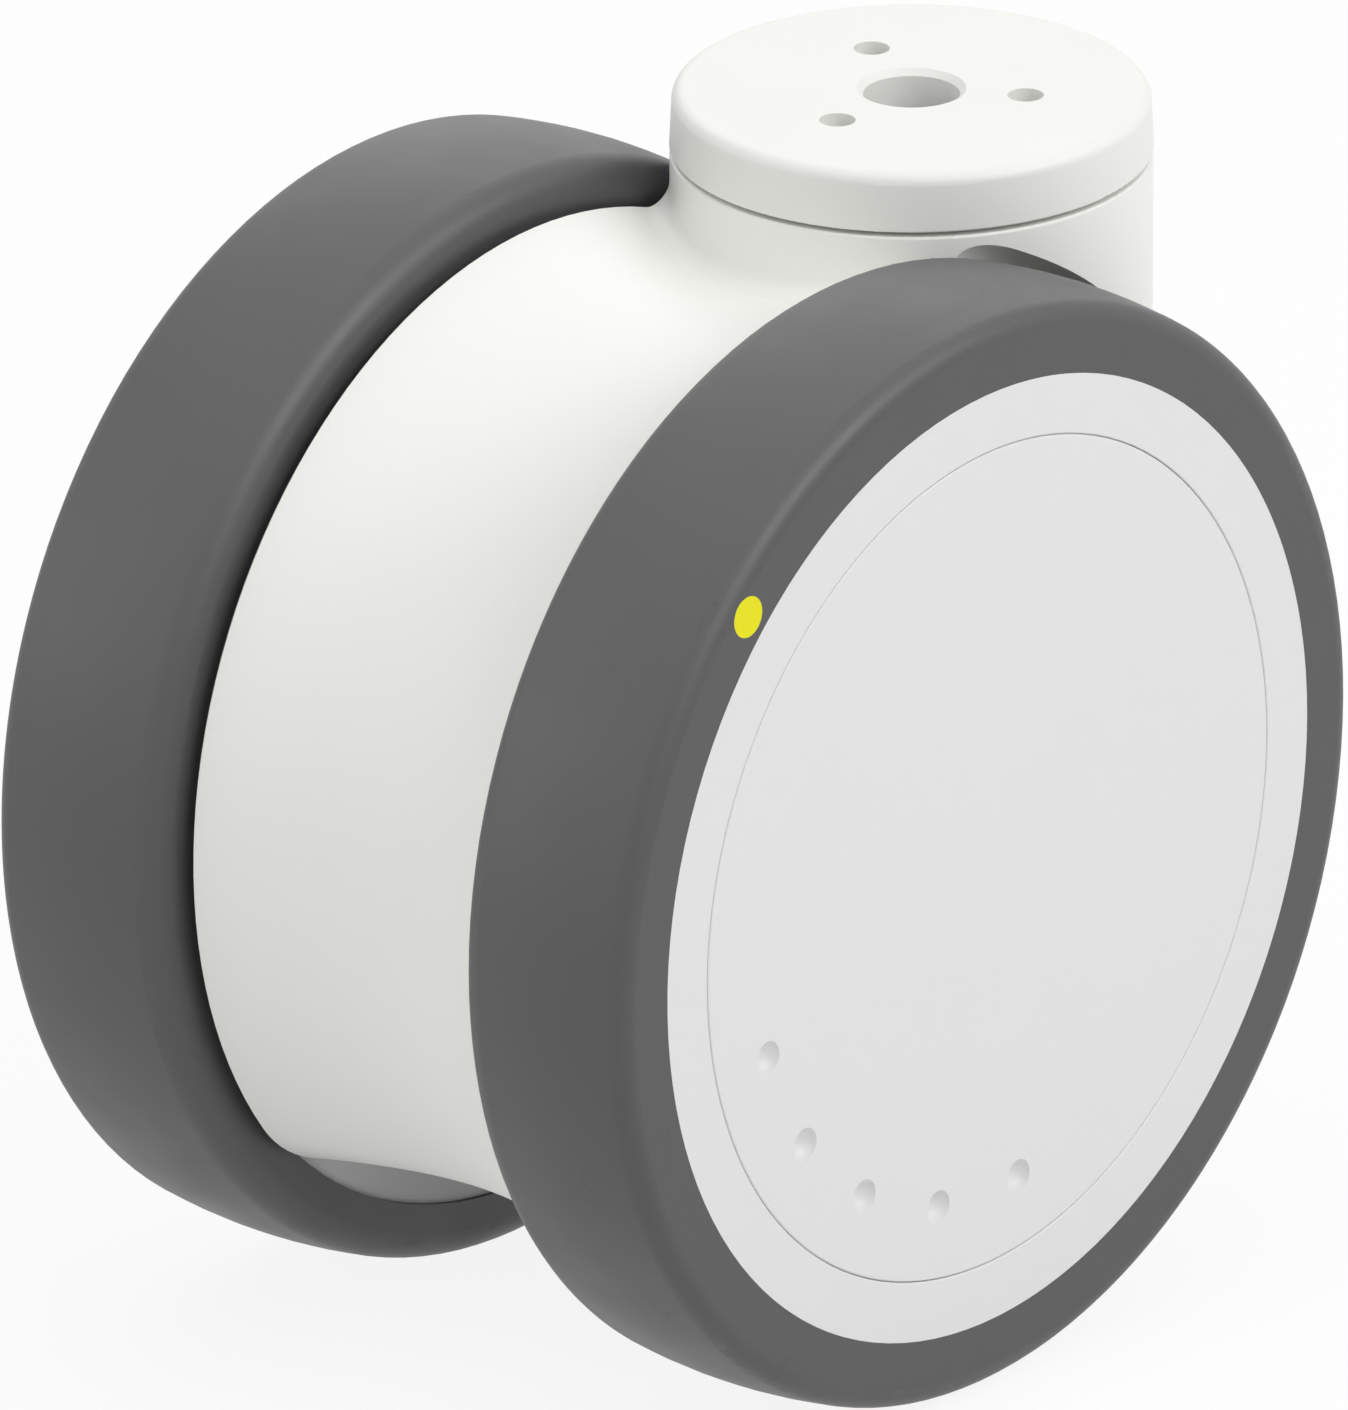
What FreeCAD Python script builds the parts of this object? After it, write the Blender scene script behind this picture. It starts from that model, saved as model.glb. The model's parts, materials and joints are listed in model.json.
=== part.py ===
"""Twin wheel swivel caster with a bolt-hole head: two wheels on one axle beside a moulded, waisted housing.

Millimetres. The origin is the centre of the mounting face on the swivel axis, and +Z is up.
The axle lies along Y, the wheels trail towards -X, and the front wheel is the one at -Y.
"""
import FreeCAD, Part
import math
import os

# Overall sizes
overall_height = 129.58
head_rise = 3.82
overall_width = 89.46
trail = 40.3

# Tread and wheel body
tread_width = 23.2
tread_crown = 0.55
tread_outer_shoulder = 2.5
tread_inner_shoulder = 3.3
tread_thickness = 8.51
rim_key_height = 1.19
rim_key_width = 9.0
face_ring_width = 6.76
cap_ledge_width = 2.2
web_recess = 0.56
web_thickness = 3.0
hub_diameter = 31.0
ring_wall_count = 2
ring_wall_thickness = 2.0
spoke_count = 6
spoke_thickness = 2.2
spoke_cap_gap = 0.9
bearing_stop_height = 1.4

# Hub cap
cap_groove_width = 0.12
cap_groove_depth = 0.35
cap_thickness = 2.2
cap_skirt_thickness = 2.0
cap_skirt_depth = 5.5
cap_skirt_clearance = 0.2
cap_edge_round = 0.22
dimple_count = 5
dimple_diameter = 3.9
dimple_depth = 1.5
dimple_inset = 8.24
dimple_first_angle = 197.4
dimple_pitch = 20.0

# Round mark on the front tread
mark_diameter = 4.7
mark_depth = 1.0
mark_inset = 5.18
mark_angle = 135.0

# Wheel bearings, axle and its retainers
axle_diameter = 10.0
wheel_bearing_diameter = 22.0
wheel_bearing_width = 6.0
wheel_bearing_recess = 0.9
axle_spacer_wall = 2.5
axle_end_length = 2.0
axle_end_gap = 0.54
axle_end_chamfer = 0.8
lock_pin_diameter = 4.0
lock_pin_embed = 4.0

# Housing drum
wheel_gap = 1.39
drum_rim_inset = 5.64
drum_waist_depth = 4.74
drum_ground_clearance = 21.06
drum_bottom_round = 16.0
drum_wall = 3.2
drum_end_wall = 3.0
rib_thickness = 2.4
lengthwise_rib_count = 2
cross_rib_spacing = 22.0
axle_boss_diameter = 26.0

# Housing neck
neck_diameter = 52.9
neck_top_round = 0.25
neck_fillet = 1.8
neck_front_depth = 46.0
neck_front_round = 30.0
neck_foot_drop = 19.3
neck_foot_reach = 9.0
wheel_arch_clearance = 1.3
wheel_arch_round = 4.0

# Mounting flange
flange_thickness = 6.7
flange_overhang = 0.05
flange_draft = 0.3
flange_top_round = 1.4
flange_foot_round = 0.25
flange_gap = 0.55
flange_boss_wall = 1.9
bolt_bore_diameter = 10.6
bolt_bore_chamfer = 0.7
pin_hole_diameter = 4.0
pin_hole_depth = 5.0
pin_hole_count = 3
pin_circle_diameter = 25.27
pin_hole_first_angle = 60.0

# Swivel spindle, its bearings and retainers
spindle_diameter = 17.0
spindle_top_depth = 5.2
spindle_end_length = 2.8
spindle_end_chamfer = 0.6
swivel_bearing_diameter = 35.0
swivel_bearing_width = 10.0
swivel_bearing_depth = 10.5
swivel_bearing_spacing = 8.0
outer_spacer_wall = 2.0
inner_spacer_wall = 2.6
washer_thickness = 2.0
bolt_channel_diameter = 24.0
bolt_channel_wall = 3.5

# Dust seal in the neck's mouth
seal_top_gap = 0.8
seal_lip_thickness = 1.5
seal_foot_width = 2.9

# Bearing sections and snap rings
bearing_ring_share = 0.24
bearing_seal_recess = 0.5
circlip_thickness = 1.0
circlip_bite = 0.5
circlip_height = 2.2
circlip_gap_angle = 40.0

# Clearances between pieces that turn past each other, and how far a cut runs past what it cuts
running_clearance = 0.05
lip_clearance = 0.3
cut_margin = 5.0

# How edges are told apart when they are rounded
match_tolerance = 0.01
edge_samples = 5

# Places that follow from the sizes above
wheel_radius = (overall_height - head_rise) / 2
crown_reach = tread_width / 2 - tread_inner_shoulder
crown_tilt = 2 * math.atan(tread_crown / crown_reach)
crown_radius = crown_reach / math.sin(crown_tilt)
crown_corner_radius = wheel_radius - tread_crown + crown_reach * math.tan(crown_tilt)
tread_edge_radius = crown_corner_radius - tread_width / 2 * math.tan(crown_tilt)
rim_outer_radius = wheel_radius - tread_thickness
rim_key_radius = rim_outer_radius + rim_key_height
cap_recess_radius = rim_outer_radius - face_ring_width
cap_radius = cap_recess_radius - cap_groove_width
rim_inner_radius = cap_recess_radius - cap_ledge_width
drum_rim_radius = wheel_radius - drum_rim_inset
drum_waist_radius = drum_rim_radius - drum_waist_depth
axle_height = wheel_radius - overall_height
outer_face = overall_width / 2
inner_face = outer_face - tread_width
web_face = inner_face + web_recess
cap_seat = outer_face - cap_thickness
skirt_end = cap_seat - cap_skirt_depth
drum_end = inner_face - wheel_gap
drum_width = 2 * drum_end
neck_top = -flange_thickness - flange_gap
neck_radius = neck_diameter / 2
neck_foot_depth = neck_foot_drop - axle_height
flange_radius = neck_radius + flange_overhang
flange_boss_radius = spindle_diameter / 2 + flange_boss_wall
drum_bottom = drum_ground_clearance - overall_height
wheel_arch_radius = wheel_radius + wheel_arch_clearance
inboard_bearing = web_face + wheel_bearing_recess
axle_end = cap_seat - axle_end_gap
circlip_place = axle_end - axle_end_length - circlip_thickness
outboard_bearing = circlip_place - wheel_bearing_width
upper_bearing_top = -swivel_bearing_depth
upper_bearing_base = upper_bearing_top - swivel_bearing_width
lower_bearing_top = upper_bearing_base - swivel_bearing_spacing
lower_bearing_base = lower_bearing_top - swivel_bearing_width
spindle_end = lower_bearing_base - washer_thickness - circlip_thickness - spindle_end_length

axle_centre = FreeCAD.Vector(-trail, 0, axle_height)
axle_direction = FreeCAD.Vector(0, 1, 0)
swivel_direction = FreeCAD.Vector(0, 0, 1)
sides = {"front": -1, "rear": 1}


def on_axle(radius, along):
    """Point of a profile that is turned about the axle."""
    return FreeCAD.Vector(radius - trail, along, axle_height)


def on_swivel(radius, along):
    """Point of a profile that is turned about the swivel axis."""
    return FreeCAD.Vector(radius, 0, along)


def in_side_view(across, up):
    """Point of an outline drawn in the caster's middle plane."""
    return FreeCAD.Vector(across, 0, up)


def rounded_wire(corners, place):
    """Closed wire through corners given as (a, b) or (a, b, rounding radius)."""
    points = [place(corner[0], corner[1]) for corner in corners]
    count = len(points)
    starts = []
    arcs = []
    for index, corner in enumerate(corners):
        point = points[index]
        rounding = corner[2] if len(corner) == 3 else 0
        if rounding == 0:
            starts.append((point, point))
            arcs.append(None)
            continue
        back = (points[index - 1] - point).normalize()
        ahead = (points[(index + 1) % count] - point).normalize()
        half_angle = back.getAngle(ahead) / 2
        middle = (back + ahead).normalize()
        run = rounding / math.tan(half_angle)
        first = point + back * run
        last = point + ahead * run
        crest = point + middle * (rounding / math.sin(half_angle) - rounding)
        starts.append((first, last))
        arcs.append(Part.Arc(first, crest, last).toShape())
    edges = []
    for index in range(count):
        if arcs[index]:
            edges.append(arcs[index])
        line_start = starts[index][1]
        line_end = starts[(index + 1) % count][0]
        edges.append(Part.makeLine(line_start, line_end))
    return Part.Wire(edges)


def outward(solid):
    """The solid with its faces pointing outwards."""
    if solid.Volume < 0:
        solid.reverse()
    return solid


def turned_on_axle(corners, side=1):
    """Solid turned about the axle from (radius, distance from the middle plane) corners."""
    wire = rounded_wire(corners, lambda radius, along: on_axle(radius, side * along))
    return outward(Part.Face(wire).revolve(axle_centre, axle_direction, 360))


def turned_on_swivel(corners):
    """Solid turned about the swivel axis from (radius, height) corners."""
    wire = rounded_wire(corners, on_swivel)
    return outward(Part.Face(wire).revolve(FreeCAD.Vector(), swivel_direction, 360))


def axle_cylinder(radius, start, end):
    """Cylinder about the axle between two places along Y."""
    base = axle_centre + axle_direction * start
    return Part.makeCylinder(radius, end - start, base, axle_direction)


def swivel_cylinder(radius, top, base):
    """Cylinder about the swivel axis between two heights."""
    return Part.makeCylinder(radius, top - base, swivel_direction * base, swivel_direction)


def ring_corners(inner, outer, start, end):
    """Rectangular section of a plain ring."""
    return [(inner, start), (outer, start), (outer, end), (inner, end)]


def on_wheel_face(radius, angle, along):
    """Point on a wheel at a radius and an angle about the axle, from +X towards +Z."""
    reach = math.radians(angle)
    return axle_centre + FreeCAD.Vector(radius * math.cos(reach), along, radius * math.sin(reach))


def bearing_split(bore, outside):
    """Radii where a bearing's inner ring ends and where its outer ring begins."""
    section = (outside - bore) / 2 * bearing_ring_share
    return bore / 2 + section, outside / 2 - section


def inner_ring_corners(bore, outside, start, end):
    """Section of a bearing's inner ring."""
    land, _ = bearing_split(bore, outside)
    return ring_corners(bore / 2, land, start, end)


def outer_ring_corners(bore, outside, start, end):
    """Section of a bearing's outer ring with its two seals set in, which close in the balls."""
    land, shoulder = bearing_split(bore, outside)
    lip = land + running_clearance
    recess = math.copysign(bearing_seal_recess, end - start)
    return [
        (lip, start + recess),
        (shoulder, start + recess),
        (shoulder, start),
        (outside / 2, start),
        (outside / 2, end),
        (shoulder, end),
        (shoulder, end - recess),
        (lip, end - recess),
    ]


def circlip(shaft_radius, base, direction, gap_direction):
    """Open snap ring that bites into a groove and stands up from the shaft."""
    inner = shaft_radius - circlip_bite
    outer = inner + circlip_height
    ring = Part.makeCylinder(outer, circlip_thickness, base, direction)
    ring = ring.cut(Part.makeCylinder(inner, circlip_thickness, base, direction))
    half_gap = math.radians(circlip_gap_angle / 2)
    reach = outer + cut_margin
    aside = direction.cross(gap_direction) * (reach * math.tan(half_gap))
    ahead = gap_direction * reach
    wedge = Part.makePolygon([base, base + ahead + aside, base + ahead - aside, base])
    return ring.cut(Part.Face(wedge).extrude(direction * circlip_thickness))


def circlip_groove(shaft_radius, base, direction):
    """Groove that a snap ring sits in, as the material to take off the shaft."""
    collar = Part.makeCylinder(shaft_radius + cut_margin, circlip_thickness, base, direction)
    return collar.cut(Part.makeCylinder(shaft_radius - circlip_bite, circlip_thickness, base, direction))


def mounting_flange():
    """Round head plate with the bolt bore, the pin holes and a boss that holds the spindle."""
    bore = bolt_bore_diameter / 2
    socket = spindle_diameter / 2
    plate = turned_on_swivel([
        (bore, -spindle_top_depth),
        (socket, -spindle_top_depth),
        (socket, upper_bearing_top),
        (flange_boss_radius, upper_bearing_top),
        (flange_boss_radius, -flange_thickness),
        (flange_radius, -flange_thickness, flange_foot_round),
        (flange_radius - flange_draft, 0, flange_top_round),
        (bore + bolt_bore_chamfer, 0),
        (bore, -bolt_bore_chamfer),
    ])
    for index in range(pin_hole_count):
        angle = math.radians(pin_hole_first_angle + index * 360 / pin_hole_count)
        reach = pin_circle_diameter / 2
        base = FreeCAD.Vector(reach * math.cos(angle), reach * math.sin(angle), -pin_hole_depth)
        plate = plate.cut(Part.makeCylinder(pin_hole_diameter / 2, pin_hole_depth, base))
    return plate


def swivel_spindle():
    """Hollow spindle pressed into the head plate's boss."""
    bore = bolt_bore_diameter / 2
    radius = spindle_diameter / 2
    tube = turned_on_swivel([
        (bore, -spindle_top_depth),
        (radius, -spindle_top_depth),
        (radius, spindle_end + spindle_end_chamfer),
        (radius - spindle_end_chamfer, spindle_end),
        (bore, spindle_end),
    ])
    return tube.cut(circlip_groove(radius, spindle_clip_base(), swivel_direction))


def spindle_clip_base():
    """Centre of the lower face of the spindle's snap ring."""
    return swivel_direction * (lower_bearing_base - washer_thickness - circlip_thickness)


def swivel_stack():
    """The bearings, spacers, washer and snap ring on the spindle, by node name."""
    bore = spindle_diameter
    outside = swivel_bearing_diameter
    pieces = {}
    seats = {
        "upper": (upper_bearing_top, upper_bearing_base),
        "lower": (lower_bearing_top, lower_bearing_base),
    }
    for name, (top, base) in seats.items():
        pieces[f"{name}_swivel_inner_ring"] = turned_on_swivel(inner_ring_corners(bore, outside, base, top))
        pieces[f"{name}_swivel_outer_ring"] = turned_on_swivel(outer_ring_corners(bore, outside, base, top))
    inner_wall = bore / 2 + inner_spacer_wall
    outer_wall = outside / 2 - outer_spacer_wall
    between = (lower_bearing_top, upper_bearing_base)
    pieces["swivel_inner_spacer"] = turned_on_swivel(ring_corners(bore / 2, inner_wall, *between))
    pieces["swivel_outer_spacer"] = turned_on_swivel(ring_corners(outer_wall, outside / 2, *between))
    washer_base = lower_bearing_base - washer_thickness
    washer = ring_corners(bore / 2, flange_boss_radius, washer_base, lower_bearing_base)
    pieces["spindle_washer"] = turned_on_swivel(washer)
    forward = FreeCAD.Vector(1, 0, 0)
    pieces["spindle_circlip"] = circlip(bore / 2, spindle_clip_base(), swivel_direction, forward)
    return pieces


def swivel_dust_seal():
    """Angle-section ring that sits on the upper outer ring and reaches in to the head plate's boss."""
    outside = swivel_bearing_diameter / 2
    lip = flange_boss_radius + lip_clearance
    top = -flange_thickness - seal_top_gap
    foot = outside - seal_foot_width
    return turned_on_swivel([
        (foot, upper_bearing_top),
        (outside, upper_bearing_top),
        (outside, top),
        (lip, top),
        (lip, top - seal_lip_thickness),
        (foot, top - seal_lip_thickness),
    ])


def waist_face(half_width, offset, end):
    """Waisted section of the drum, moved inwards by offset and cut off at plus and minus end."""
    rise = drum_waist_depth
    curve = (half_width ** 2 + rise ** 2) / (2 * rise)
    edge_radius = drum_waist_radius + curve - math.sqrt((curve + offset) ** 2 - end ** 2)
    low = on_axle(edge_radius, -end)
    middle = on_axle(drum_waist_radius - offset, 0)
    high = on_axle(edge_radius, end)
    axis_low = on_axle(0, -end)
    axis_high = on_axle(0, end)
    edges = [
        Part.makeLine(axis_low, low),
        Part.Arc(low, middle, high).toShape(),
        Part.makeLine(high, axis_high),
        Part.makeLine(axis_high, axis_low),
    ]
    return Part.Face(Part.Wire(edges))


def turned_waist(offset, end):
    """Waisted drum about the axle, inside the outer surface by offset."""
    face = waist_face(drum_end, offset, end)
    return outward(face.revolve(axle_centre, axle_direction, 360))


def side_prism(corners, half_width):
    """Outline in the middle plane, thickened evenly to both sides."""
    face = Part.Face(rounded_wire(corners, in_side_view))
    face.translate(axle_direction * -half_width)
    return outward(face.extrude(axle_direction * (2 * half_width)))


def drum_blank():
    """Waisted drum, cut flat underneath with rounded edges."""
    drum = turned_waist(0, drum_end)
    reach = 2 * drum_rim_radius
    corner = FreeCAD.Vector(-trail - reach, -reach, drum_bottom - reach)
    drum = drum.cut(Part.makeBox(2 * reach, 2 * reach, reach, corner))
    flat_edges = [edge for edge in drum.Edges if is_bottom_edge(edge)]
    return drum.makeFillet(drum_bottom_round, flat_edges)


def is_bottom_edge(edge):
    """True for an edge that crosses the drum along its flat underside."""
    box = edge.BoundBox
    return abs(box.ZMax - drum_bottom) < match_tolerance and box.YLength > drum_end


def neck_blank():
    """Upright neck whose front slopes back into the drum."""
    neck = turned_on_swivel([
        (0, -neck_foot_depth),
        (neck_radius, -neck_foot_depth),
        (neck_radius, neck_top, neck_top_round),
        (0, neck_top),
    ])
    back = -neck_radius - cut_margin
    outline = [
        (back, neck_top),
        (neck_radius, neck_top),
        (neck_radius, -neck_front_depth, neck_front_round),
        (neck_foot_reach, -neck_foot_depth),
        (back, -neck_foot_depth),
    ]
    return neck.common(side_prism(outline, neck_diameter))


def wheel_arches():
    """Room for the wheels beside the neck, with a rounded inner corner."""
    arch = [
        (0, drum_end),
        (wheel_arch_radius, drum_end, wheel_arch_round),
        (wheel_arch_radius, neck_diameter),
        (0, neck_diameter),
    ]
    return [turned_on_axle(arch, side) for side in sides.values()]


def is_neck_foot(edge):
    """True for an edge that runs round the neck where it meets the drum."""
    if edge.BoundBox.YLength < drum_end or edge.BoundBox.ZMax > neck_top - neck_fillet / 2:
        return False
    points = edge.discretize(edge_samples)
    return all(abs(math.hypot(point.x, point.y) - neck_radius) < match_tolerance for point in points)


def outer_housing():
    """Drum and neck as one outer form, blended where the neck's back rises from the drum."""
    neck = neck_blank()
    corner = FreeCAD.Vector(-neck_diameter, -drum_end, -neck_foot_depth)
    back_half = neck.common(Part.makeBox(neck_diameter, drum_width, neck_foot_depth, corner))
    body = drum_blank().fuse(back_half)
    body = body.makeFillet(neck_fillet, [edge for edge in body.Edges if is_neck_foot(edge)])
    return body.fuse(neck.cut(wheel_arches()))


def rib_places():
    """Middles of the lengthwise ribs, which share out the drum's inner width evenly."""
    inside = drum_width - 2 * drum_end_wall
    bay = (inside - lengthwise_rib_count * rib_thickness) / (lengthwise_rib_count + 1)
    first = -inside / 2 + bay + rib_thickness / 2
    return [first + index * (bay + rib_thickness) for index in range(lengthwise_rib_count)]


def housing_hollows():
    """The pockets inside the drum, open below, between its ribs, the axle boss and the neck."""
    reach = 2 * drum_rim_radius
    hollow = turned_waist(drum_wall, drum_end - drum_end_wall)
    keep = [axle_cylinder(axle_boss_diameter / 2, -drum_end, drum_end)]
    keep.append(swivel_cylinder(neck_radius, neck_top, -neck_front_depth))
    keep.append(swivel_cylinder(bolt_channel_diameter / 2 + bolt_channel_wall, 0, drum_bottom - reach))
    for place in rib_places():
        corner = FreeCAD.Vector(-trail - reach, place - rib_thickness / 2, axle_height - reach)
        keep.append(Part.makeBox(2 * reach, rib_thickness, 2 * reach, corner))
    for step in (-1, 1):
        across = -trail + step * cross_rib_spacing - rib_thickness / 2
        corner = FreeCAD.Vector(across, -drum_end, axle_height - reach)
        keep.append(Part.makeBox(rib_thickness, drum_width, 2 * reach, corner))
    return hollow.cut(keep)


def housing():
    """Moulded housing with its pockets, bearing seat, bolt channel, axle bore and pin hole."""
    body = outer_housing().cut(housing_hollows())
    seat = swivel_cylinder(swivel_bearing_diameter / 2, 0, lower_bearing_base)
    channel = swivel_cylinder(bolt_channel_diameter / 2, 0, -overall_height)
    bore = axle_cylinder(axle_diameter / 2, -drum_end, drum_end)
    return body.cut([seat, channel, bore, lock_pin_blank()]).removeSplitter()


def lock_pin_blank():
    """Upright pin from the underside of the axle boss into the axle."""
    length = axle_boss_diameter / 2 + lock_pin_embed
    base = axle_centre - swivel_direction * (axle_boss_diameter / 2)
    return Part.makeCylinder(lock_pin_diameter / 2, length, base)


def axle():
    """Straight axle with chamfered ends, two snap ring grooves and the lock pin's hole."""
    radius = axle_diameter / 2
    shaft = turned_on_axle([
        (0, -axle_end),
        (radius - axle_end_chamfer, -axle_end),
        (radius, -axle_end + axle_end_chamfer),
        (radius, axle_end - axle_end_chamfer),
        (radius - axle_end_chamfer, axle_end),
        (0, axle_end),
    ])
    for side in sides.values():
        shaft = shaft.cut(circlip_groove(radius, axle_clip_base(side), axle_direction * side))
    return shaft.cut(lock_pin_blank())


def axle_clip_base(side):
    """Centre of the inner face of an axle snap ring."""
    return axle_centre + axle_direction * (side * circlip_place)


def axle_circlips():
    """The two snap rings at the axle's ends."""
    up = swivel_direction
    rings = []
    for side in sides.values():
        rings.append(circlip(axle_diameter / 2, axle_clip_base(side), axle_direction * side, up))
    return Part.Compound(rings)


def tread(side):
    """Solid tyre ring bonded round the wheel body, crowned across and rounded at its shoulders."""
    key_start = web_face + rim_key_width
    middle = (inner_face + outer_face) / 2
    return turned_on_axle([
        (rim_key_radius, inner_face),
        (tread_edge_radius, inner_face, tread_inner_shoulder),
        (crown_corner_radius, middle, crown_radius),
        (tread_edge_radius, outer_face, tread_outer_shoulder),
        (rim_outer_radius, outer_face),
        (rim_outer_radius, key_start),
        (rim_key_radius, key_start),
    ], side)


def mark_plug():
    """Round plug through the front tread's outer face."""
    base = on_wheel_face(wheel_radius - mark_inset, mark_angle, -outer_face)
    return Part.makeCylinder(mark_diameter / 2, mark_depth, base, axle_direction)


def wheel_body(side):
    """Wheel centre: closed web, keyed rim, hub with bearing seats, ring walls and spokes."""
    hub = hub_diameter / 2
    seat = wheel_bearing_diameter / 2
    stop = seat - bearing_stop_height
    web_back = web_face + web_thickness
    hub_end = circlip_place
    spoke_top = skirt_end - spoke_cap_gap
    key_start = web_face + rim_key_width
    stop_start = inboard_bearing + wheel_bearing_width
    body = turned_on_axle([
        (seat, web_face),
        (rim_key_radius, web_face),
        (rim_key_radius, key_start),
        (rim_outer_radius, key_start),
        (rim_outer_radius, outer_face),
        (cap_recess_radius, outer_face, cap_edge_round),
        (cap_recess_radius, cap_seat),
        (rim_inner_radius, cap_seat),
        (rim_inner_radius, web_back),
        (hub, web_back),
        (hub, hub_end),
        (seat, hub_end),
        (seat, outboard_bearing),
        (stop, outboard_bearing),
        (stop, stop_start),
        (seat, stop_start),
    ], side)
    walls = []
    bay = (rim_inner_radius - hub - ring_wall_count * ring_wall_thickness) / (ring_wall_count + 1)
    for index in range(ring_wall_count):
        inner = hub + bay + index * (bay + ring_wall_thickness)
        wall = ring_corners(inner, inner + ring_wall_thickness, web_back, spoke_top)
        walls.append(turned_on_axle(wall, side))
    low, high = sorted((side * web_back, side * spoke_top))
    for index in range(spoke_count):
        length = rim_inner_radius - (seat + hub) / 2 + ring_wall_thickness
        corner = axle_centre + FreeCAD.Vector((seat + hub) / 2, low, -spoke_thickness / 2)
        spoke = Part.makeBox(length, high - low, spoke_thickness, corner)
        spoke.rotate(axle_centre, axle_direction, index * 360 / spoke_count)
        walls.append(spoke)
    return body.fuse(walls).removeSplitter()


def hub_cap(side):
    """Snap-in cover disc with a skirt inside the rim and a row of dimples in its face."""
    skirt = rim_inner_radius - cap_skirt_clearance
    inside = skirt - cap_skirt_thickness
    fitted = cap_recess_radius - running_clearance
    groove_floor = outer_face - cap_groove_depth
    cap = turned_on_axle([
        (0, cap_seat),
        (inside, cap_seat),
        (inside, skirt_end),
        (skirt, skirt_end),
        (skirt, cap_seat),
        (fitted, cap_seat),
        (fitted, groove_floor),
        (cap_radius, groove_floor),
        (cap_radius, outer_face, cap_edge_round),
        (0, outer_face),
    ], side)
    dimple_radius = ((dimple_diameter / 2) ** 2 + dimple_depth ** 2) / (2 * dimple_depth)
    height = side * (outer_face - dimple_depth + dimple_radius)
    for index in range(dimple_count):
        angle = dimple_first_angle + index * dimple_pitch
        centre = on_wheel_face(cap_radius - dimple_inset, angle, height)
        cap = cap.cut(Part.makeSphere(dimple_radius, centre))
    return cap


def wheel_bearings(side_name, side):
    """The two bearings of one wheel and the spacers on the axle beside them, by node name."""
    bore = axle_diameter
    outside = wheel_bearing_diameter
    pieces = {}
    for name, start in (("inboard", inboard_bearing), ("outboard", outboard_bearing)):
        end = start + wheel_bearing_width
        inner = inner_ring_corners(bore, outside, start, end)
        outer = outer_ring_corners(bore, outside, start, end)
        pieces[f"{side_name}_{name}_inner_ring"] = turned_on_axle(inner, side)
        pieces[f"{side_name}_{name}_outer_ring"] = turned_on_axle(outer, side)
    spacer = bore / 2 + axle_spacer_wall
    between = ring_corners(bore / 2, spacer, inboard_bearing + wheel_bearing_width, outboard_bearing)
    pieces[f"{side_name}_bearing_sleeve"] = turned_on_axle(between, side)
    beside = ring_corners(bore / 2, spacer, drum_end, inboard_bearing)
    pieces[f"{side_name}_axle_spacer"] = turned_on_axle(beside, side)
    return pieces


def wheel(side_name, side):
    """All pieces of one wheel, by node name."""
    pieces = wheel_bearings(side_name, side)
    pieces[f"{side_name}_tread"] = tread(side)
    pieces[f"{side_name}_wheel_body"] = wheel_body(side)
    pieces[f"{side_name}_hub_cap"] = hub_cap(side)
    return pieces


def all_pieces():
    """Every piece of the caster, by node name."""
    pieces = {
        "mounting_flange": mounting_flange(),
        "swivel_spindle": swivel_spindle(),
        "swivel_dust_seal": swivel_dust_seal(),
        "housing": housing(),
        "axle": axle(),
        "axle_lock_pin": lock_pin_blank(),
        "axle_circlips": axle_circlips(),
    }
    pieces.update(swivel_stack())
    for side_name, side in sides.items():
        pieces.update(wheel(side_name, side))
    plug = mark_plug()
    pieces["front_tread_mark"] = pieces["front_tread"].common(plug)
    pieces["front_tread"] = pieces["front_tread"].cut(plug)
    return pieces


os.makedirs("parts", exist_ok=True)
for node, shape in all_pieces().items():
    shape.exportStep(f"parts/{node}.step")
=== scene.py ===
"""Looks of a twin wheel swivel caster: finishes, studio and camera."""
import json
import logging
import math
from dataclasses import dataclass, field, replace
from enum import Enum
from typing import Any, ClassVar

import bmesh
import bpy
from mathutils import Matrix, Vector


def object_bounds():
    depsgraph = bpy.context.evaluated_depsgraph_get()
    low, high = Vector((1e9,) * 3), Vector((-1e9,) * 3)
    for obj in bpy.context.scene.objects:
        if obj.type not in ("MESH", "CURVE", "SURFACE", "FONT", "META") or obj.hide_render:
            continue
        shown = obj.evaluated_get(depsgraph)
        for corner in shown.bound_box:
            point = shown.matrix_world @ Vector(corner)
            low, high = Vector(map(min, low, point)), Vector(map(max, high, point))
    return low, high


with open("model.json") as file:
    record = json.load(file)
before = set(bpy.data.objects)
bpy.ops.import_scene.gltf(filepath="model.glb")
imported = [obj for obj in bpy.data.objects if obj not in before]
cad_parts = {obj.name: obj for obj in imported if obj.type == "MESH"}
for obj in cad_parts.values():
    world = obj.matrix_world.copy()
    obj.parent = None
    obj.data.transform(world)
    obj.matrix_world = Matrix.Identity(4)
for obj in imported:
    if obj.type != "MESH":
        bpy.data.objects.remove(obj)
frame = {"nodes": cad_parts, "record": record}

Colour = tuple[float, float, float]

CAD_BOX: tuple[Vector, Vector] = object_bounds()
MIDDLE: Vector = (CAD_BOX[0] + CAD_BOX[1]) / 2
MM: float = 0.001
WHITE: Colour = (1.0, 1.0, 1.0)
LOG: logging.Logger = logging.getLogger("caster")


class Slot(Enum):
    """The record's material slots."""

    HEAD = "head_white"
    HOUSING = "housing_white"
    WHEEL = "wheel_white"
    CAP = "cap_white"
    TREAD = "tread_grey"
    MARK = "mark_yellow"
    ZINC = "zinc_steel"
    BEARING = "bearing_steel"
    SPRING = "spring_steel"
    SEAL = "seal_black"


class Side(Enum):
    """The two wheels, by their bodies' names in the record."""

    FRONT = "front_wheel"
    REAR = "rear_wheel"


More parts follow.
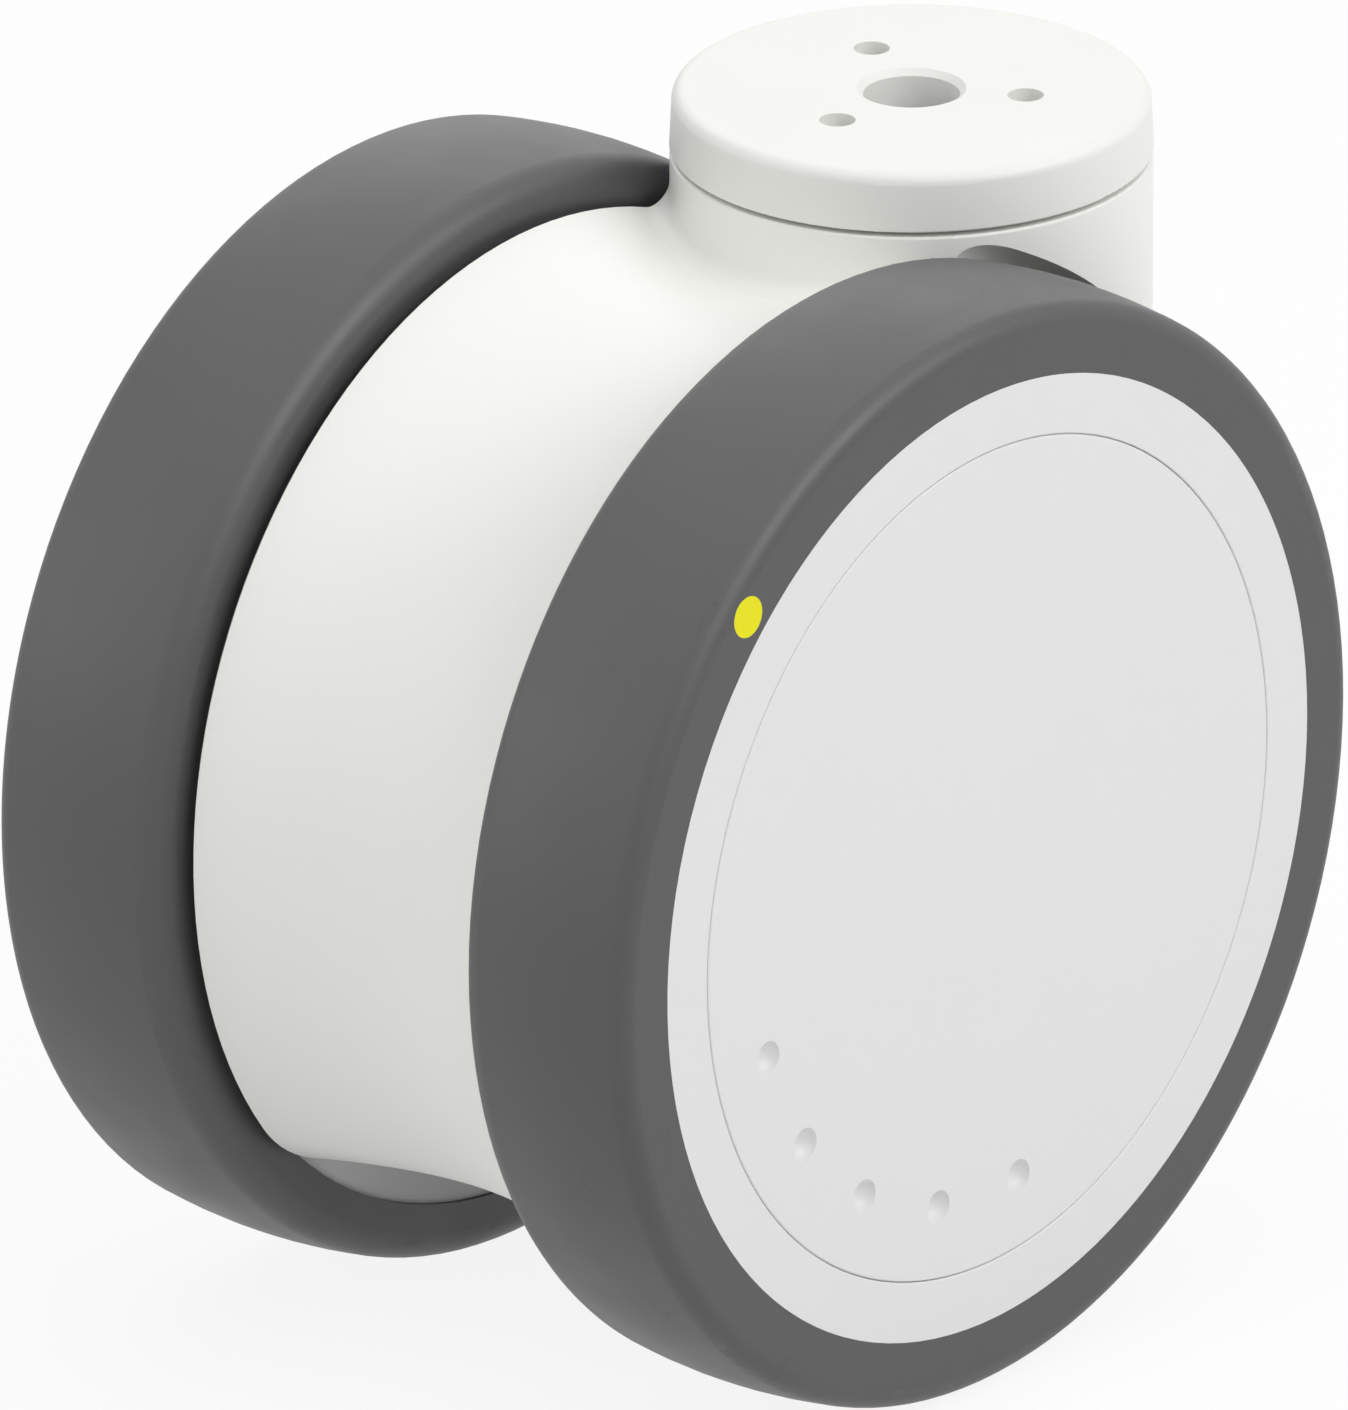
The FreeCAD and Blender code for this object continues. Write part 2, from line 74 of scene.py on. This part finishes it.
class TurningLine(Enum):
    """The lines that steel pieces are turned round, by the joint that lies on each."""

    SWIVEL = "swivel"
    AXLE = "front_wheel_spin"

    @classmethod
    def of(cls, node: str) -> "TurningLine":
        """Finds the line of a CAD node.

        Args:
            node: the node's name.

        Returns:
            The swivel axis for spindle and swivel pieces, the axle for all others.
        """
        return cls.SWIVEL if "swivel" in node or "spindle" in node else cls.AXLE

    def mapping(self) -> dict[str, Any]:
        """Works out how the line is laid on the Z axis.

        Returns:
            The values of a Mapping node's sockets.
        """
        joint = next(row for row in frame["record"]["behaviour"]["joints"] if row["name"] == self.value)
        turn = Vector(joint["axis"]).rotation_difference(Vector((0.0, 0.0, 1.0))).to_matrix()
        return {"Location": -(turn @ Vector(joint["pos_m"])), "Rotation": turn.to_euler()}


def rgba(colour: Colour) -> tuple[float, float, float, float]:
    """Adds full opacity to a colour."""
    return (*colour, 1.0)


def per_metre(size: float) -> float:
    """Turns a feature's size in millimetres into a texture's scale."""
    return 1 / (size * MM)


class NodeNet:
    """Short calls for adding and joining shader nodes."""

    def __init__(self, tree: bpy.types.NodeTree) -> None:
        """Keeps the tree that nodes go into."""
        self.tree = tree

    @classmethod
    def fresh(cls, owner: bpy.types.Material | bpy.types.World) -> "NodeNet":
        """Starts on an empty tree.

        Args:
            owner: the material or the world that gets nodes.

        Returns:
            The net of its emptied tree.
        """
        owner.use_nodes = True
        owner.node_tree.nodes.clear()
        return cls(owner.node_tree)

    def add(self, kind: str, sockets: dict[Any, Any] | None = None, **settings: Any) -> bpy.types.Node:
        """Adds a node.

        Args:
            kind: the node's type name in Blender.
            sockets: values of input sockets, by name or index.
            settings: attributes of the node.

        Returns:
            The new node.
        """
        node = self.tree.nodes.new(kind)
        for name, value in settings.items():
            setattr(node, name, value)
        for key, value in (sockets or {}).items():
            node.inputs[key].default_value = value
        return node

    def join(self, start: bpy.types.NodeSocket, end: bpy.types.NodeSocket) -> None:
        """Links an output socket to an input socket."""
        self.tree.links.new(start, end)

    def mix(self, first: bpy.types.Node, second: bpy.types.Node) -> bpy.types.Node:
        """Mixes two shaders.

        Args:
            first: the shader that shows at a factor of 0.
            second: the shader that shows at a factor of 1.

        Returns:
            The mixing node, whose first input is the factor.
        """
        node = self.add("ShaderNodeMixShader")
        self.join(first.outputs[0], node.inputs[1])
        self.join(second.outputs[0], node.inputs[2])
        return node


class EffectGroup:
    """A shader node group that is built once and placed in several materials."""

    NAME: str
    INPUTS: tuple[str, ...]
    OUTPUTS: tuple[str, ...]

    def __init__(self) -> None:
        """Makes the group with its sockets and fills it."""
        self.tree = bpy.data.node_groups.new(self.NAME, "ShaderNodeTree")
        ports = self.tree.interface
        ports.new_socket("Vector", in_out="INPUT", socket_type="NodeSocketVector")
        for name in self.INPUTS:
            ports.new_socket(name, in_out="INPUT", socket_type="NodeSocketFloat")
        for name in self.OUTPUTS:
            ports.new_socket(name, in_out="OUTPUT", socket_type="NodeSocketFloat")
        self.net = NodeNet(self.tree)
        self.start = self.net.add("NodeGroupInput")
        self.end = self.net.add("NodeGroupOutput")
        self._fill()

    def _fill(self) -> None:
        """Makes the nodes between the group's sockets."""
        raise NotImplementedError

    def place(self, net: NodeNet, spot: bpy.types.NodeSocket, scales: dict[str, float]) -> bpy.types.Node:
        """Places the group in a material.

        Args:
            net: the material's node net.
            spot: the socket that gives the place on the piece.
            scales: the scales of the group's textures.

        Returns:
            The group's node.
        """
        node = net.add("ShaderNodeGroup", scales, node_tree=self.tree)
        net.join(spot, node.inputs["Vector"])
        return node


class SkinGroup(EffectGroup):
    """Moulded skin: a fine spark-eroded grain and broad, faint clouds."""

    NAME = "moulded_skin"
    INPUTS = ("Grain Scale", "Cloud Scale")
    OUTPUTS = ("Height", "Cloud")
    GRAIN_NOISE: dict[str, float] = {"Detail": 1.0, "Roughness": 0.6}
    CLOUD_NOISE: dict[str, float] = {"Detail": 2.0, "Roughness": 0.55}
    PIT_SHARE: float = 0.35

    def _fill(self) -> None:
        """Mixes pits into the grain and makes the clouds beside it."""
        net, start, end = self.net, self.start, self.end
        fine = net.add("ShaderNodeTexNoise", self.GRAIN_NOISE)
        pits = net.add("ShaderNodeTexVoronoi", feature="F1")
        cloud = net.add("ShaderNodeTexNoise", self.CLOUD_NOISE)
        blend = net.add("ShaderNodeMix", {"Factor": self.PIT_SHARE}, data_type="FLOAT")
        for texture, scale in ((fine, "Grain Scale"), (pits, "Grain Scale"), (cloud, "Cloud Scale")):
            net.join(start.outputs["Vector"], texture.inputs["Vector"])
            net.join(start.outputs[scale], texture.inputs["Scale"])
        net.join(fine.outputs["Fac"], blend.inputs["A"])
        net.join(pits.outputs["Distance"], blend.inputs["B"])
        net.join(blend.outputs["Result"], end.inputs["Height"])
        net.join(cloud.outputs["Fac"], end.inputs["Cloud"])


class ScuffGroup(EffectGroup):
    """Faint handling scuffs: short, fine lines that come in patches."""

    NAME = "handling_scuffs"
    INPUTS = ("Line Scale", "Patch Scale")
    OUTPUTS = ("Mask",)
    STRETCH: dict[str, tuple[float, float, float]] = {"Rotation": (0.4, 0.7, 0.2), "Scale": (1.0, 0.25, 0.6)}
    WAVE_NOISE: dict[str, float] = {"Detail": 0.0}
    LINE_LEVEL: float = 0.5
    LINE_WIDTH: float = 0.012
    PATCH_NOISE: dict[str, float] = {"Detail": 1.0}
    PATCH_START: float = 0.52
    PATCH_END: float = 0.72

    def _fill(self) -> None:
        """Makes thin contour lines and keeps them only inside cloudy patches."""
        net, start, end = self.net, self.start, self.end
        stretch = net.add("ShaderNodeMapping", self.STRETCH)
        waves = net.add("ShaderNodeTexNoise", self.WAVE_NOISE)
        line = net.add("ShaderNodeMath", {1: self.LINE_LEVEL, 2: self.LINE_WIDTH}, operation="COMPARE")
        patch = net.add("ShaderNodeTexNoise", self.PATCH_NOISE)
        limit = net.add("ShaderNodeMapRange", {"From Min": self.PATCH_START, "From Max": self.PATCH_END})
        both = net.add("ShaderNodeMath", operation="MULTIPLY")
        net.join(start.outputs["Vector"], stretch.inputs["Vector"])
        net.join(stretch.outputs["Vector"], waves.inputs["Vector"])
        net.join(start.outputs["Line Scale"], waves.inputs["Scale"])
        net.join(start.outputs["Vector"], patch.inputs["Vector"])
        net.join(start.outputs["Patch Scale"], patch.inputs["Scale"])
        net.join(waves.outputs["Fac"], line.inputs[0])
        net.join(patch.outputs["Fac"], limit.inputs["Value"])
        net.join(line.outputs["Value"], both.inputs[0])
        net.join(limit.outputs["Result"], both.inputs[1])
        net.join(both.outputs["Value"], end.inputs["Mask"])


class TurningGroup(EffectGroup):
    """Lathe marks: fine rings round the Z axis of the place that it is given."""

    NAME = "turning_marks"
    INPUTS = ("Ring Scale",)
    OUTPUTS = ("Height",)
    RING_NOISE: dict[str, float] = {"Detail": 2.0, "Roughness": 0.7}

    def _fill(self) -> None:
        """Makes a noise that changes along the axis and outwards from it, and stays the same round it."""
        net, start, end = self.net, self.start, self.end
        split = net.add("ShaderNodeSeparateXYZ")
        across = net.add("ShaderNodeCombineXYZ")
        radius = net.add("ShaderNodeVectorMath", operation="LENGTH")
        section = net.add("ShaderNodeCombineXYZ")
        rings = net.add("ShaderNodeTexNoise", self.RING_NOISE)
        net.join(start.outputs["Vector"], split.inputs["Vector"])
        net.join(split.outputs["X"], across.inputs["X"])
        net.join(split.outputs["Y"], across.inputs["Y"])
        net.join(across.outputs["Vector"], radius.inputs[0])
        net.join(radius.outputs["Value"], section.inputs["X"])
        net.join(split.outputs["Z"], section.inputs["Z"])
        net.join(section.outputs["Vector"], rings.inputs["Vector"])
        net.join(start.outputs["Ring Scale"], rings.inputs["Scale"])
        net.join(rings.outputs["Fac"], end.inputs["Height"])


@dataclass(frozen=True)
class Effects:
    """The shared node groups."""

    skin: SkinGroup = field(default_factory=SkinGroup)
    scuffs: ScuffGroup = field(default_factory=ScuffGroup)
    turning: TurningGroup = field(default_factory=TurningGroup)


@dataclass(frozen=True)
class Clouds:
    """Colour and gloss that change in broad, faint clouds, with the clouds' size in millimetres."""

    LOW: ClassVar[float] = 0.3
    HIGH: ClassVar[float] = 0.7

    clear: Colour
    filled: Colour
    smoothest: float
    roughest: float
    size: float

    def lay(self, net: NodeNet, shader: bpy.types.Node, skin: bpy.types.Node) -> bpy.types.NodeSocket:
        """Lays the clouds of a skin on a shader's colour.

        Args:
            net: the material's node net.
            shader: the material's shader.
            skin: the skin group in the material.

        Returns:
            The socket of the clouded roughness.
        """
        tint = net.add("ShaderNodeMix", {"A": rgba(self.clear), "B": rgba(self.filled)}, data_type="RGBA")
        gloss = net.add("ShaderNodeMapRange", {"From Min": self.LOW, "From Max": self.HIGH,
                                               "To Min": self.smoothest, "To Max": self.roughest})
        net.join(skin.outputs["Cloud"], tint.inputs["Factor"])
        net.join(skin.outputs["Cloud"], gloss.inputs["Value"])
        net.join(tint.outputs["Result"], shader.inputs["Base Color"])
        return gloss.outputs["Result"]


def principled(name: str) -> tuple[bpy.types.Material, NodeNet, bpy.types.Node]:
    """Starts a material.

    Args:
        name: the material's name.

    Returns:
        The material, its node net and its shader, already joined to the output.
    """
    made = bpy.data.materials.new(name)
    net = NodeNet.fresh(made)
    shader = net.add("ShaderNodeBsdfPrincipled")
    out = net.add("ShaderNodeOutputMaterial")
    net.join(shader.outputs["BSDF"], out.inputs["Surface"])
    return made, net, shader


def emboss(net: NodeNet, shader: bpy.types.Node, height: bpy.types.NodeSocket, depth: float) -> None:
    """Gives a shader a fine relief.

    Args:
        net: the material's node net.
        shader: the material's shader.
        height: the socket of the relief's height, from 0 to 1.
        depth: the relief's real height in millimetres.
    """
    bump = net.add("ShaderNodeBump", {"Distance": depth * MM})
    net.join(height, bump.inputs["Height"])
    net.join(bump.outputs["Normal"], shader.inputs["Normal"])


@dataclass(frozen=True)
class MouldedFinish:
    """Moulded plastic or elastomer with a fine grain, in millimetres, and faint scuffs."""

    LINES_PER_CLOUD: ClassVar[float] = 4.0

    clouds: Clouds
    grain_size: float
    grain_height: float
    scuff_gloss: float = 0.06
    specular: float = 0.5

    def material(self, name: str, effects: Effects) -> bpy.types.Material:
        """Builds the finish.

        Args:
            name: the material's name.
            effects: the shared node groups.

        Returns:
            The material.
        """
        made, net, shader = principled(name)
        shader.inputs["Specular IOR Level"].default_value = self.specular
        spot = net.add("ShaderNodeTexCoord").outputs["Object"]
        cloud_scale = per_metre(self.clouds.size)
        skin = effects.skin.place(net, spot, {"Grain Scale": per_metre(self.grain_size),
                                              "Cloud Scale": cloud_scale})
        scuffs = effects.scuffs.place(net, spot, {"Line Scale": self.LINES_PER_CLOUD * cloud_scale,
                                                  "Patch Scale": cloud_scale})
        worn = net.add("ShaderNodeMath", {1: self.scuff_gloss}, operation="MULTIPLY_ADD")
        net.join(scuffs.outputs["Mask"], worn.inputs[0])
        net.join(self.clouds.lay(net, shader, skin), worn.inputs[2])
        net.join(worn.outputs["Value"], shader.inputs["Roughness"])
        emboss(net, shader, skin.outputs["Height"], self.grain_height)
        return made


@dataclass(frozen=True)
class SteelFinish:
    """Turned or ground steel with fine rings, in millimetres, round the line that it turned on."""

    clouds: Clouds
    ring_pitch: float
    ring_height: float
    line: TurningLine = TurningLine.SWIVEL

    def material(self, name: str, effects: Effects) -> bpy.types.Material:
        """Builds the finish.

        Args:
            name: the material's name.
            effects: the shared node groups.

        Returns:
            The material.
        """
        made, net, shader = principled(name)
        shader.inputs["Metallic"].default_value = 1.0
        spot = net.add("ShaderNodeTexCoord").outputs["Object"]
        chuck = net.add("ShaderNodeMapping", self.line.mapping())
        net.join(spot, chuck.inputs["Vector"])
        skin = effects.skin.place(net, spot, {"Cloud Scale": per_metre(self.clouds.size)})
        rings = effects.turning.place(net, chuck.outputs["Vector"],
                                      {"Ring Scale": per_metre(self.ring_pitch)})
        net.join(self.clouds.lay(net, shader, skin), shader.inputs["Roughness"])
        emboss(net, shader, rings.outputs["Height"], self.ring_height)
        return made


HEAD_WHITE = MouldedFinish(
    Clouds(clear=(0.866, 0.864, 0.830), filled=(0.883, 0.881, 0.848),
           smoothest=0.40, roughest=0.50, size=18.0),
    grain_size=0.38, grain_height=0.010)
HOUSING_WHITE = MouldedFinish(
    Clouds(clear=(0.919, 0.923, 0.885), filled=(0.935, 0.939, 0.901),
           smoothest=0.40, roughest=0.50, size=18.0),
    grain_size=0.38, grain_height=0.010)
WHEEL_WHITE = MouldedFinish(
    Clouds(clear=(0.775, 0.776, 0.770), filled=(0.790, 0.791, 0.785),
           smoothest=0.38, roughest=0.48, size=22.0),
    grain_size=0.38, grain_height=0.008)
GREY_ELASTOMER = MouldedFinish(
    Clouds(clear=(0.056, 0.056, 0.059), filled=(0.065, 0.065, 0.068),
           smoothest=0.44, roughest=0.51, size=12.0),
    grain_size=0.25, grain_height=0.018, specular=0.7)
YELLOW_INLAY = MouldedFinish(
    Clouds(clear=(0.82, 0.77, 0.002), filled=(0.86, 0.81, 0.003),
           smoothest=0.42, roughest=0.52, size=4.0),
    grain_size=0.30, grain_height=0.010, specular=0.2)
BLACK_RUBBER = MouldedFinish(
    Clouds(clear=(0.022, 0.022, 0.023), filled=(0.030, 0.030, 0.031),
           smoothest=0.45, roughest=0.60, size=8.0),
    grain_size=0.40, grain_height=0.020)
ZINC_PLATE = SteelFinish(
    Clouds(clear=(0.66, 0.67, 0.69), filled=(0.57, 0.58, 0.61),
           smoothest=0.26, roughest=0.42, size=6.0),
    ring_pitch=0.25, ring_height=0.004)
GROUND_STEEL = SteelFinish(
    Clouds(clear=(0.60, 0.60, 0.62), filled=(0.55, 0.55, 0.57),
           smoothest=0.16, roughest=0.26, size=8.0),
    ring_pitch=0.12, ring_height=0.001)
BLACK_SPRING = SteelFinish(
    Clouds(clear=(0.22, 0.22, 0.23), filled=(0.17, 0.17, 0.18),
           smoothest=0.30, roughest=0.46, size=3.0),
    ring_pitch=0.30, ring_height=0.003)

FINISHES: dict[Slot, MouldedFinish | SteelFinish] = {
    Slot.HEAD: HEAD_WHITE,
    Slot.HOUSING: HOUSING_WHITE,
    Slot.WHEEL: WHEEL_WHITE,
    Slot.CAP: WHEEL_WHITE,
    Slot.TREAD: GREY_ELASTOMER,
    Slot.MARK: YELLOW_INLAY,
    Slot.SEAL: BLACK_RUBBER,
    Slot.ZINC: ZINC_PLATE,
    Slot.BEARING: GROUND_STEEL,
    Slot.SPRING: BLACK_SPRING,
}


class PaintShop:
    """The materials, each built once, and the slot that each CAD node takes."""

    def __init__(self) -> None:
        """Builds the shared groups and reads the slots."""
        self.effects = Effects()
        self.slots = {row["node"]: Slot(row["material_slot"]) for row in frame["record"]["subparts"]}
        self.materials: dict[str, bpy.types.Material] = {}

    def material(self, node: str) -> bpy.types.Material:
        """Finds or builds a node's material, with lathe marks round the node's own line where it is steel.

        Args:
            node: the CAD node's name.

        Returns:
            The material.
        """
        slot = self.slots[node]
        finish, name = FINISHES[slot], slot.value
        if isinstance(finish, SteelFinish):
            line = TurningLine.of(node)
            finish, name = replace(finish, line=line), f"{name}.{line.name.lower()}"
        if name not in self.materials:
            self.materials[name] = finish.material(name, self.effects)
        return self.materials[name]


@dataclass
class SubAssembly:
    """CAD nodes that move together, by the name of their body in the record."""

    body: str

    def dress(self, shop: PaintShop) -> None:
        """Gives each piece the finish of its slot.

        Args:
            shop: the materials.
        """
        for node in frame["record"]["behaviour"]["bodies"][self.body]:
            piece = frame["nodes"][node]
            piece.data.materials.clear()
            piece.data.materials.append(shop.material(node))
            LOG.info("%s dressed in %s", node, piece.active_material.name)


@dataclass
class Head(SubAssembly):
    """Head plate, spindle and the inner half of the swivel bearings."""

    body: str = "head"


@dataclass
class Housing(SubAssembly):
    """Moulded housing with the outer half of the swivel bearings and the axle."""

    body: str = "housing"


@dataclass
class Wheel(SubAssembly):
    """One wheel: elastic tread, moulded centre, snap-in cap and the outer rings of its bearings."""


@dataclass
class Lamp:
    """One oval softbox that shines at the caster, in metres and watts."""

    name: str
    place: Vector
    width: float
    height: float
    power: float

    def build(self) -> None:
        """Makes the lamp and turns it to the caster."""
        data = bpy.data.lights.new(self.name, "AREA")
        data.shape = "ELLIPSE"
        data.size = self.width
        data.size_y = self.height
        data.energy = self.power
        lamp = bpy.data.objects.new(self.name, data)
        lamp.location = self.place
        lamp.rotation_euler = (MIDDLE - self.place).to_track_quat("-Z", "Y").to_euler()
        bpy.context.scene.collection.objects.link(lamp)


@dataclass
class Studio:
    """Pale floor, white surroundings and soft lamps."""

    floor_half_width: float = 6.0
    floor_colour: Colour = (0.88, 0.88, 0.89)
    floor_seen: Colour = (0.97, 0.97, 0.97)
    floor_whitening: float = 0.88
    ambient: float = 0.376
    lamps: list[Lamp] = field(default_factory=lambda: [
        Lamp("ceiling_panel", Vector((-0.05, 0.00, 1.40)), width=3.0, height=3.0, power=13.05),
        Lamp("key_softbox", Vector((0.16, -1.15, 0.86)), width=1.7, height=0.7, power=9.3),
        Lamp("left_softbox", Vector((-0.95, 1.00, 0.35)), width=1.1, height=1.1, power=2.43),
        Lamp("trail_softbox", Vector((-1.30, 0.00, 0.40)), width=1.1, height=1.1, power=0.8),
        Lamp("back_softbox", Vector((0.90, 0.90, 0.60)), width=1.1, height=1.1, power=1.71),
    ])

    def build(self) -> None:
        """Sets up the view, the world, the floor and the lamps."""
        bpy.context.scene.view_settings.view_transform = "Standard"
        self._world()
        self._floor()
        for lamp in self.lamps:
            lamp.build()

    @staticmethod
    def _seen_rays(net: NodeNet) -> bpy.types.NodeSocket:
        """Adds a mask of the rays that show a surface: straight, mirrored or through glass.

        Args:
            net: the node net that it goes into.

        Returns:
            The socket that is 1 for those rays.
        """
        ray = net.add("ShaderNodeLightPath")
        mirrored = net.add("ShaderNodeMath", operation="MAXIMUM")
        seen = net.add("ShaderNodeMath", operation="MAXIMUM")
        net.join(ray.outputs["Is Glossy Ray"], mirrored.inputs[0])
        net.join(ray.outputs["Is Transmission Ray"], mirrored.inputs[1])
        net.join(ray.outputs["Is Camera Ray"], seen.inputs[0])
        net.join(mirrored.outputs["Value"], seen.inputs[1])
        return seen.outputs["Value"]

    def _world(self) -> None:
        """Makes surroundings that are white where they are seen, and softer where they light."""
        world = bpy.data.worlds.new("white_room")
        bpy.context.scene.world = world
        net = NodeNet.fresh(world)
        light = net.add("ShaderNodeBackground", {"Color": rgba(WHITE), "Strength": self.ambient})
        white = net.add("ShaderNodeBackground", {"Color": rgba(WHITE), "Strength": 1.0})
        room = net.mix(light, white)
        out = net.add("ShaderNodeOutputWorld")
        net.join(self._seen_rays(net), room.inputs[0])
        net.join(room.outputs[0], out.inputs["Surface"])

    def _floor(self) -> None:
        """Lays a wide floor under the wheels."""
        shape = bmesh.new()
        bmesh.ops.create_grid(shape, x_segments=1, y_segments=1, size=self.floor_half_width,
                              matrix=Matrix.Translation((0.0, 0.0, CAD_BOX[0].z)))
        mesh = bpy.data.meshes.new("floor")
        shape.to_mesh(mesh)
        shape.free()
        mesh.materials.append(self._floor_finish())
        floor = bpy.data.objects.new("floor", mesh)
        bpy.context.scene.collection.objects.link(floor)

    def _floor_finish(self) -> bpy.types.Material:
        """Makes a matt floor with a soft shadow: whitened where it is seen, clear from below.

        Returns:
            The material.
        """
        made = bpy.data.materials.new("pale_floor")
        net = NodeNet.fresh(made)
        matt = net.add("ShaderNodeBsdfDiffuse", {"Color": rgba(self.floor_colour)})
        shown = net.add("ShaderNodeBsdfDiffuse", {"Color": rgba(self.floor_seen)})
        white = net.add("ShaderNodeEmission", {"Color": rgba(WHITE), "Strength": 1.0})
        whitened = net.mix(shown, white)
        whitened.inputs[0].default_value = self.floor_whitening
        from_above = net.mix(matt, whitened)
        net.join(self._seen_rays(net), from_above.inputs[0])
        either_side = net.mix(from_above, net.add("ShaderNodeBsdfTransparent"))
        facing = net.add("ShaderNodeNewGeometry")
        net.join(facing.outputs["Backfacing"], either_side.inputs[0])
        out = net.add("ShaderNodeOutputMaterial")
        net.join(either_side.outputs[0], out.inputs["Surface"])
        return made


@dataclass
class PhotoCamera:
    """Long lens at the photograph's viewing angle."""

    picture: tuple[int, int] = (1348, 1410)
    azimuth: float = -49.96
    elevation: float = 21.92
    pixels_per_mm: float = 9.16
    origin_pixel: tuple[float, float] = (911.67, 87.285)
    lens: float = 1500.0
    sensor: float = 36.0

    def build(self) -> None:
        """Makes the camera and gives it to the scene."""
        turn, rise = math.radians(self.azimuth), math.radians(self.elevation)
        back = Vector((math.sin(turn) * math.cos(rise), -math.cos(turn) * math.cos(rise), math.sin(rise)))
        right = Vector((math.cos(turn), math.sin(turn), 0.0))
        up = back.cross(right)
        across = (self.picture[0] / 2 - self.origin_pixel[0]) / self.pixels_per_mm * MM
        above = (self.origin_pixel[1] - self.picture[1] / 2) / self.pixels_per_mm * MM
        aim = right * across + up * above + back * MIDDLE.dot(back)
        distance = self.lens * max(self.picture) / (self.pixels_per_mm * self.sensor) * MM
        data = bpy.data.cameras.new("photo_camera")
        data.lens = self.lens
        data.sensor_width = self.sensor
        camera = bpy.data.objects.new("photo_camera", data)
        camera.location = aim + back * distance
        camera.rotation_euler = (-back).to_track_quat("-Z", "Y").to_euler()
        bpy.context.scene.collection.objects.link(camera)
        bpy.context.scene.camera = camera


def main() -> None:
    """Builds the caster's looks in order."""
    logging.basicConfig(level=logging.INFO, format="%(name)s: %(message)s")
    shop = PaintShop()
    Head().dress(shop)
    Housing().dress(shop)
    for side in Side:
        Wheel(side.value).dress(shop)
    Studio().build()
    PhotoCamera().build()


if __name__ == "__main__":
    main()
